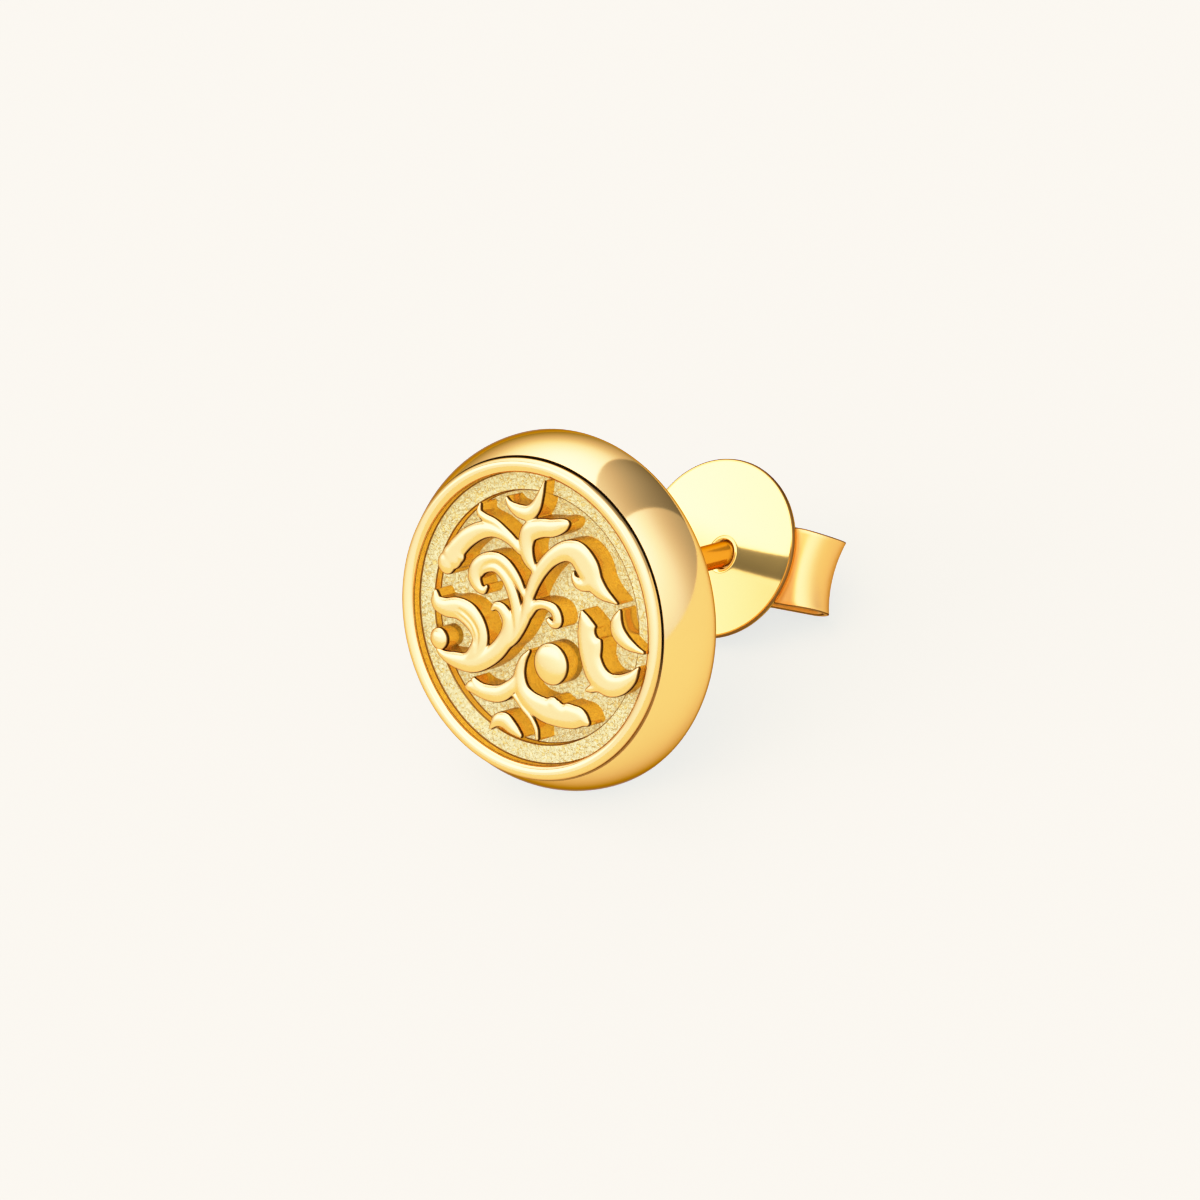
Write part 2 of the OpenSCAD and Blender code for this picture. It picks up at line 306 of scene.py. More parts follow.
def gold_material(
    name, colour, roughness, wear,
    grain_scale=GRAIN_SCALE, grain_depth=0.0, metallic=1.0, kind="plain", edge_shaded=False,
):
    """Procedural gold: its colour by kind, roughness with faint wipe marks, and a fine bump in metres."""
    material = bpy.data.materials.new(name)
    material.use_nodes = True
    tree = material.node_tree
    shader = tree.nodes["Principled BSDF"]
    shader.inputs["Metallic"].default_value = metallic
    shader.inputs["Specular Tint"].default_value = EDGE_TINT
    place = tree.nodes.new("ShaderNodeTexCoord").outputs["Object"]

    grain = noise(tree, place, grain_scale, 6.0 if kind == "crinkled" else 3.0)
    # Crinkles get painted shade in their hollows
    if kind == "crinkled":
        grain.inputs["Distortion"].default_value = 1.2
        base = crinkle_shaded_colour(tree, grain.outputs["Fac"], colour)
    # The groove's colour is painted shade, set by height
    elif kind == "groove":
        base = groove_painted_shade(tree, place, colour)
    else:
        base = drifting_colour(tree, place, colour)
    # A painted dark line of shade and dark reflection along the edges
    if edge_shaded:
        base = edge_shaded_colour(tree, base)
    tree.links.new(base, shader.inputs["Base Color"])

    spread = tree.nodes.new("ShaderNodeMapRange")
    spread.inputs["To Min"].default_value = max(0.0, roughness - wear)
    spread.inputs["To Max"].default_value = roughness + wear
    tree.links.new(noise(tree, place, WIPE_SCALE, 4.0).outputs["Fac"], spread.inputs["Value"])
    tree.links.new(spread.outputs["Result"], shader.inputs["Roughness"])

    bump = tree.nodes.new("ShaderNodeBump")
    bump.inputs["Strength"].default_value = 1.0
    bump.inputs["Distance"].default_value = grain_depth
    tree.links.new(grain.outputs["Fac"], bump.inputs["Height"])
    tree.links.new(bump.outputs["Normal"], shader.inputs["Normal"])
    return material


POLISHED = gold_material("polished_gold", GOLD, roughness=0.085, wear=0.015, grain_depth=3e-7)
# The post is painted a darker, deeper gold than the rest: painted shade between the head and the back
POST_SHADED_GOLD = gold_material("post_painted_shade_gold", (0.58, 0.345, 0.065), roughness=0.16, wear=0.03, grain_depth=4e-7)
# Painted orange wall reflection and shade, for the walls of the head's recesses
WALL_REFLECTION = gold_material("painted_wall_reflection_gold", WALL_REFLECTION_GOLD, roughness=0.2, wear=0.03, grain_depth=6e-7, metallic=0.75)
# The relief's tops and sides hold the painted dark shade line; its sides are painted in the orange wall
# reflection and shade
RELIEF_TOP = gold_material("relief_gold", GOLD, roughness=0.2, wear=0.02, grain_depth=4e-7, edge_shaded=True)
RELIEF_SIDE = gold_material(
    "relief_side_gold", WALL_REFLECTION_GOLD, roughness=0.2, wear=0.03, grain_depth=6e-7, metallic=0.75, edge_shaded=True
)
# Painted dark line of shade and dark reflection, for creases and edges
EDGE_SHADE = gold_material("painted_edge_shade_gold", (0.25, 0.12, 0.03), roughness=0.3, wear=0.03)
# Its crinkles hold painted shade, a darker gold, in their hollows
FROSTED = gold_material(
    "frosted_gold", (1.0, 0.79, 0.35), roughness=0.38, wear=0.06,
    grain_scale=9000.0, grain_depth=1.8e-4, metallic=0.15, kind="crinkled",
)
# Painted shade in the groove, near black high on the head and golden brown further down
GROOVE_SHADE = gold_material("groove_painted_shade_gold", GROOVE_DARK_SHADE, roughness=0.5, wear=0.05, kind="groove")
SHEET = gold_material(
    "sheet_gold", (0.97, 0.63, 0.195), roughness=0.05, wear=0.015, grain_scale=1800.0, grain_depth=3e-7
)
EAR_GOLD = gold_material(
    "ear_gold", (0.97, 0.58, 0.2), roughness=0.38, wear=0.03, grain_scale=1800.0, grain_depth=6e-7
)


# Head

HEAD_TURNS = 256
# Radii of the rows of points on the flat back and on the flat ground
BACK_ROW_R = 2.5
GROUND_ROWS_R = (2.6, 1.3)
# The groove, deep and line finishes hold painted shade; the deep one also painted orange reflection
HEAD_FINISHES = {"polished": POLISHED, "frosted": FROSTED, "groove": GROOVE_SHADE, "deep": WALL_REFLECTION, "line": EDGE_SHADE}


def head_section():
    """Half section of the head from the middle of its back to the middle of its ground, with each row's
    finish. Rows a few hundredths from a corner keep it crisp, and some hold the painted shade line beside
    it."""
    wall_rise = HEAD_R - WALL_TOP_R
    wall_run = WALL_TOP_Z - BELLY_Z
    wall_arc = (wall_run**2 + wall_rise**2) / (2 * wall_rise)
    wall_mid = HEAD_R - wall_arc
    top_angle = math.degrees(math.asin(wall_run / wall_arc))
    edge_mid = HEAD_R - BACK_ROUND
    ring_in = RING_R - RING_IN
    ring_out = RING_R + RING_OUT
    ring = []
    for a in np.radians(np.linspace(90, -90, 41)):
        reach = (RING_OUT if a > 0 else RING_IN) - 0.003
        ring.append((RING_R + reach * math.sin(a), -RING_FALL * (1 - math.cos(a))))
    parts = [
        ("polished", [(0.0, -HEAD_T), (BACK_ROW_R, -HEAD_T), (edge_mid - 0.2, -HEAD_T)]),
        ("polished", arc(edge_mid, BELLY_Z, BACK_ROUND, -90, 0, 20)),
        ("polished", arc(wall_mid, BELLY_Z, wall_arc, 1.0, top_angle - 0.3, 40)),
        ("polished", arc(wall_mid, BELLY_Z, wall_arc, top_angle - 0.15, top_angle - 0.05, 2)),
        # The groove's rows hold painted shade, reaching a little way up the ring's side
        ("groove", [(ring_out + GROOVE_W, WALL_TOP_Z - 0.01), (ring_out, WALL_TOP_Z)]),
        ("groove", [(ring_out, WALL_TOP_Z + GROOVE_SHADE_RISE)]),
        ("polished", [(ring_out, WALL_TOP_Z + GROOVE_SHADE_RISE + 0.005)]),
        ("polished", ring),
        # Line rows hold the painted dark shade line in the creases; deep rows the painted orange wall
        # reflection and shade
        ("line", [(ring_in, -RING_FALL - 0.035)]),
        ("deep", [(ring_in, LEDGE_Z + 0.05)]),
        ("line", [(ring_in - 0.01, LEDGE_Z + 0.02), (ring_in - 0.03, LEDGE_Z)]),
        ("frosted", [(FIELD_R + 0.035, LEDGE_Z)]),
        ("line", [(FIELD_R + 0.01, LEDGE_Z - 0.01), (FIELD_R, LEDGE_Z - 0.035)]),
        ("deep", [(FIELD_R, FIELD_Z + 0.03)]),
        ("line", [(FIELD_R - 0.025, FIELD_Z)]),
        ("frosted", [(r, FIELD_Z) for r in (*GROUND_ROWS_R, 0.0)]),
    ]
    section, finishes = [], []
    for finish, rows in parts:
        section += rows
        finishes += [finish] * len(rows)
    return section, finishes


def add_head():
    section, finishes = head_section()
    verts, faces, rows = revolve(section, HEAD_TURNS)
    names = list(HEAD_FINISHES)
    slots = [names.index(finishes[i + 1]) for i in rows]
    materials = list(HEAD_FINISHES.values())
    piece = add_piece("head_casting", verts, faces, "head", materials, HEAD_FRAME, slots)
    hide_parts("stud_head")
    return piece


def add_post():
    """The straight post, with its round tip and the small fillet of its solder."""
    end = -HEAD_T - POST_LEN
    section = [(0.0, end)]
    section += arc(0.0, end + POST_R, POST_R, -90, 0, 12)[1:]
    section += [(POST_R, end + 3.0), (POST_R, -HEAD_T - 2.0), (POST_R, -HEAD_T - 0.1)]
    section += [(POST_R + 0.04, -HEAD_T - 0.03), (POST_R + 0.1, -HEAD_T + 0.05), (0.0, -HEAD_T + 0.05)]
    verts, faces, _ = revolve(section, 64, POST_AT)
    post = add_piece("post", verts, faces, "head", [POST_SHADED_GOLD], HEAD_FRAME)
    # The plate mirrors the light and not the post, as in the photograph
    post.visible_glossy = False
    return post


# Relief: each scroll is a middle line with one row per bend: x, y, half width
SCROLLS = {
    "branch": [(-0.1, 0.6, 0.17), (0.12, 1.15, 0.21), (0.42, 1.62, 0.23), (0.82, 2.02, 0.25),
               (1.28, 2.26, 0.3), (1.72, 2.22, 0.38), (2.06, 1.9, 0.42), (2.32, 1.5, 0.33),
               (2.65, 1.22, 0.22), (3.0, 1.06, 0.1), (3.2, 0.98, 0.03)],
    "branch_hook": [(2.2, 1.5, 0.26), (2.0, 1.36, 0.2), (1.75, 1.36, 0.16), (1.6, 1.5, 0.09),
                    (1.57, 1.66, 0.03)],
    "upper_scroll": [(0.12, 1.5, 0.1), (-0.14, 1.85, 0.22), (-0.22, 2.25, 0.27), (-0.1, 2.62, 0.3),
                     (0.28, 2.8, 0.28), (0.75, 2.87, 0.26), (1.12, 3.0, 0.2), (1.3, 3.08, 0.1)],
    "top_crescent": [(-0.98, 3.52, 0.05), (-0.82, 3.33, 0.12), (-0.5, 3.2, 0.2), (-0.14, 3.2, 0.22),
                     (0.1, 3.4, 0.19), (0.27, 3.76, 0.12), (0.42, 4.2, 0.03)],
    "slender_leaf": [(-1.97, 3.2, 0.04), (-2.0, 2.96, 0.1), (-1.78, 2.82, 0.12), (-1.38, 2.72, 0.11),
                     (-1.0, 2.52, 0.1), (-0.6, 2.22, 0.1)],
    "broad_arc": [(-0.45, 2.05, 0.14), (-0.9, 2.34, 0.17), (-1.4, 2.48, 0.2), (-1.9, 2.42, 0.25),
                  (-2.4, 2.14, 0.29), (-2.76, 1.8, 0.31), (-2.9, 1.6, 0.34)],
    "outer_curl": [(-0.26, 0.72, 0.1), (-0.55, 1.14, 0.16), (-0.9, 1.48, 0.18), (-1.3, 1.65, 0.17),
                   (-1.72, 1.55, 0.21), (-2.04, 1.27, 0.25), (-2.14, 0.95, 0.24), (-2.0, 0.69, 0.17),
                   (-1.8, 0.6, 0.11), (-1.68, 0.72, 0.06)],
    "inner_curl": [(-1.86, 1.08, 0.04), (-1.7, 1.28, 0.11), (-1.35, 1.36, 0.15), (-1.0, 1.15, 0.17),
                   (-0.75, 0.8, 0.19), (-0.58, 0.4, 0.2), (-0.5, 0.0, 0.2), (-0.5, -0.4, 0.16),
                   (-0.66, -0.72, 0.12), (-0.9, -0.95, 0.05)],
    "stem": [(-0.1, 0.8, 0.08), (-0.1, 0.45, 0.2), (-0.2, 0.05, 0.2), (-0.4, -0.4, 0.16),
             (-0.62, -0.74, 0.12), (-0.88, -0.98, 0.05)],
    "small_hook": [(-0.05, 0.2, 0.15), (0.2, 0.46, 0.14), (0.55, 0.52, 0.13), (0.9, 0.4, 0.17),
                   (1.02, 0.1, 0.17), (0.85, -0.03, 0.1), (0.68, 0.06, 0.08)],
    "furrowed_scroll": [(-3.62, 0.26, 0.08), (-3.55, -0.05, 0.22), (-3.2, -0.14, 0.28),
                        (-2.75, -0.1, 0.33), (-2.3, -0.25, 0.37), (-1.97, -0.6, 0.33),
                        (-1.89, -1.0, 0.29), (-2.1, -1.4, 0.26), (-2.4, -1.6, 0.15)],
    "sweep": [(-3.62, -1.35, 0.04), (-3.3, -1.6, 0.13), (-2.8, -1.7, 0.24), (-2.2, -1.7, 0.28),
              (-1.7, -1.5, 0.28), (-1.2, -1.12, 0.28), (-0.86, -0.62, 0.27), (-0.83, -0.18, 0.23),
              (-1.05, 0.12, 0.18), (-1.3, 0.2, 0.12), (-1.45, 0.08, 0.05)],
    "left_leaf": [(-2.32, -2.45, 0.1), (-2.12, -2.42, 0.19), (-1.6, -2.5, 0.24), (-1.1, -2.45, 0.25),
                  (-0.7, -2.2, 0.22), (-0.5, -1.9, 0.12)],
    "left_lobe": [(-2.1, -2.2, 0.08), (-2.0, -2.32, 0.14), (-1.8, -2.45, 0.15)],
    "bottom_crescent": [(-0.02, -0.98, 0.04), (-0.25, -1.3, 0.13), (-0.36, -1.75, 0.2),
                        (-0.25, -2.2, 0.26), (0.1, -2.5, 0.31), (0.6, -2.67, 0.37), (1.1, -2.7, 0.39),
                        (1.6, -2.7, 0.36), (1.93, -2.67, 0.27), (2.2, -2.78, 0.1)],
    "small_leaf": [(-1.42, -3.55, 0.05), (-1.2, -3.3, 0.17), (-0.9, -3.25, 0.24), (-0.6, -3.42, 0.2),
                   (-0.3, -3.6, 0.08)],
    "tendril": [(-0.5, -2.45, 0.08), (-0.2, -2.75, 0.08), (0.1, -3.0, 0.08), (0.3, -3.3, 0.08),
                (0.35, -3.58, 0.06)],
    "right_crescent": [(1.93, 0.52, 0.05), (2.07, 0.15, 0.27), (2.22, -0.27, 0.43), (2.28, -0.8, 0.38),
                       (2.5, -1.25, 0.39), (2.9, -1.5, 0.36), (3.35, -1.45, 0.3), (3.75, -1.2, 0.2),
                       (4.02, -0.85, 0.04)],
    "crescent_barb": [(2.15, -1.8, 0.04), (2.35, -1.72, 0.11), (2.65, -1.6, 0.12)],
    "right_leaf": [(3.3, 0.75, 0.05), (3.2, 0.4, 0.2), (3.28, 0.1, 0.25), (3.58, -0.14, 0.2),
                   (3.95, -0.28, 0.1), (4.2, -0.34, 0.04)],
}
# Round beads between the scrolls: x, y, radius
BEADS = {"large_bead": (0.8, -1.24, 0.64), "small_bead": (-3.45, -1.14, 0.345)}
# Round lobes on the outlines of the scrolls, and round bites out of them: x, y, radius
LOBES = [(-3.215, 1.22, 0.33), (-3.0, 1.45, 0.37), (-2.72, 1.5, 0.18), (0.9, -2.5, 0.27)]
BITES = [(1.29, -2.23, 0.13), (2.64, 0.03, 0.21)]
# Furrows along the tops: depth, half width, then the middle line
FURROWS = [
    (0.05, 0.055,
     [(-2.76, -0.09), (-2.47, -0.18), (-2.15, -0.41), (-1.96, -0.69), (-1.94, -0.99), (-2.0, -1.33)]),
    (0.04, 0.05, [(-2.83, -0.19), (-2.53, -0.34), (-2.24, -0.53), (-2.08, -0.81), (-2.04, -1.11)]),
]
# How a furrow fades towards its ends; below 1 it stays deep for longer
FURROW_FADE = 0.7
# The relief is one casting, worked out on a grid from how far inside the outlines each place lies: the
# grid's step, how far it reaches past the ground, and how far past each row of a scroll it is worked out
GRID = 0.025
GRID_MARGIN = 0.6
OUTLINE_MARGIN = 0.3
# Rows from one bend to the next, how near two depths are where a fillet starts to join them, what every
# half width gains, the least half width, and the depth of places that no scroll is near
STEPS = 12
BLEND = 0.08
SPREAD = 0.02
MIN_HALF = 0.03
FAR = -1.0
# Tops: height of their edge, rise of the crown and how far in it rises, and the beads' rise
EDGE_Z = 0.0
CROWN = 0.11
CROWN_RUN = 0.3
BEAD_CROWN = 0.16
# Passes that smooth the tops, and how far inside the edge they start
SMOOTHINGS = 8
SMOOTH_FROM = 0.05
# Past the outline the surface falls this steeply, which gives the edge its normals; the outline's own
# points face outwards and by a share up
OUTER_FALL = 4
RIM_TILT = 0.15
# Factor on the distances from an edge where its painted shade line is thinnest, and how soon the line
# broadens as the edge turns to the right, away from the light
EDGE_SHADE_THIN = 1.7
EDGE_SHADE_TURN = 1.5
# Heights of the rows of points down the sides
SIDE_LEVELS = (EDGE_Z - EDGE_SHADE_FADE[1], -0.3, FIELD_Z + 0.05)
TOP_SLOT, SIDE_SLOT = 0, 1


def smooth_line(rows):
    """Rows of a scroll with STEPS smooth rows from each bend to the next."""
    p = np.array(rows, float)
    p = np.vstack([2 * p[0] - p[1], p, 2 * p[-1] - p[-2]])
    out = []
    for i in range(1, len(p) - 2):
        a, b, c, d = p[i - 1 : i + 3]
        for k in range(STEPS):
            t = k / STEPS
            out.append(0.5 * (
                2 * b + (c - a) * t + (2 * a - 5 * b + 4 * c - d) * t**2 + (3 * b - a - 3 * c + d) * t**3
            ))
    out.append(p[-2])
    return np.array(out)


def smooth_max(a, b, blend):
    """The larger of two depths, with a fillet where they are nearly the same."""
    near = np.maximum(blend - np.abs(a - b), 0) / blend
    return np.maximum(a, b) + near**2 * blend / 4


def scroll_depth(x, y, line):
    """How far inside a scroll's outline each place of the grid lies."""
    depth = np.full(x.shape, FAR)
    for cx, cy, half in line:
        reach = half + OUTLINE_MARGIN
        i = np.searchsorted(x[:, 0], [cx - reach, cx + reach])
        j = np.searchsorted(y[0], [cy - reach, cy + reach])
        part = np.s_[i[0] : i[1], j[0] : j[1]]
        inside = max(half, MIN_HALF) + SPREAD - np.hypot(x[part] - cx, y[part] - cy)
        depth[part] = np.maximum(depth[part], inside)
    return depth


def relief_depth(x, y):
    """How far inside the relief's outline each place of the grid lies."""
    depth = np.full(x.shape, FAR)
    for rows in SCROLLS.values():
        depth = smooth_max(depth, scroll_depth(x, y, smooth_line(rows)), BLEND)
    for lobe in LOBES:
        depth = smooth_max(depth, scroll_depth(x, y, [lobe]), BLEND / 2)
    for cx, cy, r in BITES:
        depth = -smooth_max(-depth, r - np.hypot(x - cx, y - cy), BLEND / 2)
    return depth


def relief_height(x, y, depth):
    """Height of the tops: round at the edge, then a soft crown, with the furrows cut in."""
    run = np.clip(depth / CROWN_RUN, 0, 1)
    height = EDGE_Z + CROWN * np.sqrt(1 - (1 - run) ** 2)
    for deep, half, points in FURROWS:
        line = smooth_line([(*p, half) for p in points])
        cut = np.zeros(x.shape)
        for k, (cx, cy, _) in enumerate(line):
            fade = math.sin(math.pi * k / (len(line) - 1)) ** FURROW_FADE
            cut = np.maximum(cut, fade * np.exp(-((x - cx) ** 2 + (y - cy) ** 2) / half**2))
        height -= deep * cut
    well_in = depth > SMOOTH_FROM
    for _ in range(SMOOTHINGS):
        mean = sum(np.roll(height, step, axis) for step in (1, -1) for axis in (0, 1)) / 4
        height = np.where(well_in, 0.5 * height + 0.5 * mean, height)
    return height


def edge_shade_width(facing_right):
    """Factor on the distances from an edge: its painted shade line is broad facing right, away from the
    light, and hair-thin elsewhere.
    """
    return EDGE_SHADE_THIN - np.clip(EDGE_SHADE_TURN * facing_right, 0, 1)


def share_of_x(x, y):
    """How far a slope faces along X, from -1 to 1."""
    return x / np.maximum(np.hypot(x, y), TINY)


def outline_points(grids, depth, first):
    """Points where the outline crosses the grid's lines: their numbers, and what each grid holds there."""
    inside = depth > 0
    numbers, values = [], []
    for ahead in ((1, 0), (0, 1)):
        here = np.s_[: depth.shape[0] - ahead[0], : depth.shape[1] - ahead[1]]
        there = np.s_[ahead[0] :, ahead[1] :]
        crossed = inside[here] != inside[there]
        share = depth[here][crossed] / (depth[here][crossed] - depth[there][crossed])
        number = np.full(depth.shape, -1)
        number[here][crossed] = first + np.arange(crossed.sum())
        first += crossed.sum()
        numbers.append(number)
        values.append(np.stack(
            [grid[here][crossed] * (1 - share) + grid[there][crossed] * share for grid in grids], axis=1
        ))
    return numbers, np.vstack(values)


def top_faces(node, cuts, first):
    """Faces of the tops, whole or cut by the outline, and the outline's edges; its points start at first."""
    cells = (node[:-1, :-1], node[1:, :-1], node[1:, 1:], node[:-1, 1:])
    whole = np.all([cell >= 0 for cell in cells], axis=0)
    some = np.any([cell >= 0 for cell in cells], axis=0)
    faces = np.stack([cell[whole] for cell in cells], axis=1).tolist()
    rims = []
    for i, j in zip(*np.nonzero(some & ~whole)):
        corners = [cell[i, j] for cell in cells]
        edges = [cuts[0][i, j], cuts[1][i + 1, j], cuts[0][i, j + 1], cuts[1][i, j]]
        loop = [int(v) for pair in zip(corners, edges) for v in pair if v >= 0]
        faces.append(loop)
        rims += [(a, b) for a, b in zip(loop, loop[1:] + loop[:1]) if a >= first and b >= first]
    return faces, rims


def relief_tops():
    """Tops of the relief: points, normals, distances from the edge, faces, the outline's edges, and the
    number of its first point."""
    count = int(math.ceil((FIELD_R + GRID_MARGIN) / GRID))
    axis = np.arange(-count, count + 1) * GRID
    x, y = np.meshgrid(axis, axis, indexing="ij")
    depth = relief_depth(x, y)
    height = relief_height(x, y, depth)
    slope_x, slope_y = np.gradient(depth, GRID)
    rise_x, rise_y = np.gradient(np.where(depth > 0, height, EDGE_Z + OUTER_FALL * depth), GRID)

    inside = depth > 0
    first = int(inside.sum())
    node = np.full(x.shape, -1)
    node[inside] = np.arange(first)
    cuts, outline = outline_points((x, y, slope_x, slope_y), depth, first)
    rim_count = len(outline)
    rim = np.column_stack([outline[:, :2], np.full(rim_count, EDGE_Z)])
    tops = np.vstack([np.column_stack([x[inside], y[inside], height[inside]]), rim])
    normals = np.vstack([
        np.column_stack([-rise_x[inside], -rise_y[inside], np.ones(first)]),
        np.column_stack([-outline[:, 2:], np.full(rim_count, RIM_TILT)]),
    ])
    normals /= np.linalg.norm(normals, axis=1)[:, None]
    widths = edge_shade_width(share_of_x(-slope_x[inside], -slope_y[inside]))
    distance = np.concatenate([depth[inside] * widths, np.zeros(rim_count)])
    faces, rims = top_faces(node, cuts, first)
    return tops, normals, distance, faces, rims, first


def relief_mesh():
    """Closed solid of the relief: the tops, straight sides and a bottom below the ground."""
    tops, normals, top_distance, faces, rims, first = relief_tops()
    top_count = len(faces)
    rim = tops[first:]
    level_out = normals[first:] * (1, 1, 0)
    widths = edge_shade_width(share_of_x(level_out[:, 0], level_out[:, 1]))
    levels, level_normals, distance = [tops], [normals], [top_distance]
    starts = [first]
    total = len(tops)
    for z in SIDE_LEVELS:
        starts.append(total)
        levels.append(np.column_stack([rim[:, :2], np.full(len(rim), z)]))
        level_normals.append(level_out)
        distance.append((EDGE_Z - z) * widths)
        total += len(rim)
    bottom = tops.copy()
    bottom[:, 2] = FOOT_Z
    levels.append(bottom)
    level_normals.append(np.vstack([np.tile((0.0, 0.0, -1.0), (first, 1)), level_out]))
    distance.append(np.ones(len(bottom)))
    starts.append(total + first)
    for up, down in zip(starts, starts[1:]):
        faces += [(b - first + up, a - first + up, a - first + down, b - first + down) for a, b in rims]
    faces += [[v + total for v in face][::-1] for face in faces[:top_count]]
    slots = [TOP_SLOT] * top_count + [SIDE_SLOT] * (len(faces) - top_count)
    return np.vstack(levels), np.vstack(level_normals), np.concatenate(distance), faces, slots


def set_edge_shade_distance(piece, distance):
    """Each point's distance from the nearest edge, in millimetres, for the painted shade line along the
    edge.
    """
    layer = piece.data.attributes.new("edge_shade_distance", "FLOAT", "POINT")
    layer.data.foreach_set("value", np.asarray(distance, dtype=np.float32))


def add_relief():
    verts, normals, distance, faces, slots = relief_mesh()
    verts[:, :2] += RELIEF_AT
    finish = [RELIEF_TOP, RELIEF_SIDE]
    relief = add_piece("scroll_relief", verts, faces, "head", finish, HEAD_FRAME, slots)
    # The distances lay out the painted dark shade line along the relief's edges
    set_edge_shade_distance(relief, distance)
    turn = np.array(HEAD_FRAME.to_3x3())
    relief.data.normals_split_custom_set_from_vertices((normals @ turn.T).tolist())
    return relief


def add_bead(name, x, y, r):
    """A round bead of the relief: a straight side up to the edge, then a low dome."""
    side = [(0.0, FOOT_Z), (r, FOOT_Z), (r, SIDE_LEVELS[1]), (r, SIDE_LEVELS[0])]
    dome = [(r * math.cos(a), EDGE_Z + BEAD_CROWN * math.sin(a)) for a in np.radians(np.linspace(0, 90, 20))]
    dome[-1] = (0.0, EDGE_Z + BEAD_CROWN)
    middle = (x + RELIEF_AT[0], y + RELIEF_AT[1])
    verts, faces, rows = revolve(side + dome, 96, middle)
    slots = [SIDE_SLOT if row < len(side) else TOP_SLOT for row in rows]
    finish = [RELIEF_TOP, RELIEF_SIDE]
    bead = add_piece(name, verts, faces, "head", finish, HEAD_FRAME, slots)
    verts = np.array(verts)
    out = verts[:, :2] - middle
    down = EDGE_Z - verts[:, 2]
    distance = np.where(down > 0, down, r - np.hypot(out[:, 0], out[:, 1]))
    # The bead's edge holds the painted dark shade line too
    set_edge_shade_distance(bead, distance * edge_shade_width(share_of_x(out[:, 0], out[:, 1])))
    return bead


# Butterfly back

PLATE_TURNS = 160


def dish_height(x, y):
    """Front surface of the dished plate, in the back's own frame, with the collar round its hole."""
    dish_r = (PLATE_R**2 + DISH**2) / (2 * DISH)
    out = np.hypot(x - PLATE_AT[0], y - PLATE_AT[1])
    bowl = dish_r - np.sqrt(dish_r**2 - out**2)
    edge = np.maximum(np.hypot(x / HOLE_X, y / HOLE_Y) - 1, 0)
    collar = COLLAR_RISE * np.exp(-(edge / COLLAR_REACH) ** 2)
    rounding = HOLE_ROUND * np.exp(-(edge / HOLE_ROUND_REACH) ** 2)
    return bowl + collar - rounding


def plate_front():
    """Rings of points on the plate's front, from its hole out to where its rim starts to round."""
    angle = 2 * math.pi * np.arange(PLATE_TURNS) / PLATE_TURNS
    cx, cy = PLATE_AT
    along = np.cos(angle) * cx + np.sin(angle) * cy
    reach = along + np.sqrt(along**2 - (cx**2 + cy**2 - (PLATE_R - RIM_ROUND) ** 2))
    hole = HOLE_X * HOLE_Y / np.hypot(HOLE_Y * np.cos(angle), HOLE_X * np.sin(angle))
    rings = []
    # The rings stand close together round the hole
    for share in np.concatenate([np.linspace(0, 0.06, 14), np.linspace(0.075, 1.0, 32)]):
        r = hole + share * (reach - hole)
        x, y = r * np.cos(angle), r * np.sin(angle)
        rings.append(np.stack([x, y, dish_height(x, y)], axis=1))
    return rings


def add_plate():
    """The plate as one loop of rings: over the front, round the rim, along the back and through the hole."""
    front = plate_front()
    rim = front[-1]
    out = rim[:, :2] - np.array(PLATE_AT)
    out /= np.linalg.norm(out, axis=1)[:, None]
    edge = []
    for t in np.radians([45, 90, 135]):
        ring = rim.copy()
        ring[:, :2] += out * RIM_ROUND * math.sin(t)
        ring[:, 2] -= 0.5 * SHEET_T * (1 - math.cos(t))
        edge.append(ring)
    back = []
    for ring in front[::-1]:
        ring = ring.copy()
        near = np.hypot(ring[:, 0] / HOLE_X, ring[:, 1] / HOLE_Y) < SLANT_REACH
        ring[:, 1] += np.where(near, SHEET_T * HOLE_SLANT, 0.0)
        ring[:, 2] -= SHEET_T
        back.append(ring)
    rings = front + edge + back
    faces = [face[::-1] for face in join_rings(len(rings), PLATE_TURNS, closed=True)]
    # The rows round the rim hold the painted dark shade line
    edge_shade_rows = (len(front) - 1, len(front))
    slots = [1 if row in edge_shade_rows else 0 for row in range(len(rings)) for _ in range(PLATE_TURNS)]
    verts = np.vstack(rings)
    piece = add_piece("back_plate", verts, faces, "back", [SHEET, EDGE_SHADE], BACK_FRAME, slots)
    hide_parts("butterfly_back")
    return piece


def ear_line():
    """Middle line of an ear's sheet in side view, from under the plate round the curl to the lip."""
    half = SHEET_T / 2
    top = DISH - SHEET_T - half
    curl_r = EAR_CURL / 2 - half
    curl_x = EAR_REACH - EAR_CURL / 2
    curl_z = DISH - SHEET_T - EAR_CURL / 2
    lip_x = POST_R + GRIP_GAP + LIP_R
    lip_z = DISH - SHEET_T - EAR_CURL + LIP_R
    line = [(x, top) for x in np.linspace(PLATE_R - EAR_ROOT, curl_x, 8)]
    line += arc(curl_x, curl_z, curl_r, 90, -90, 24)[1:]
    line += [(x, curl_z - curl_r) for x in np.linspace(curl_x, lip_x, 6)][1:]
    line += arc(lip_x, lip_z, LIP_R - half, 270, 90, 16)[1:]
    return np.array(line)


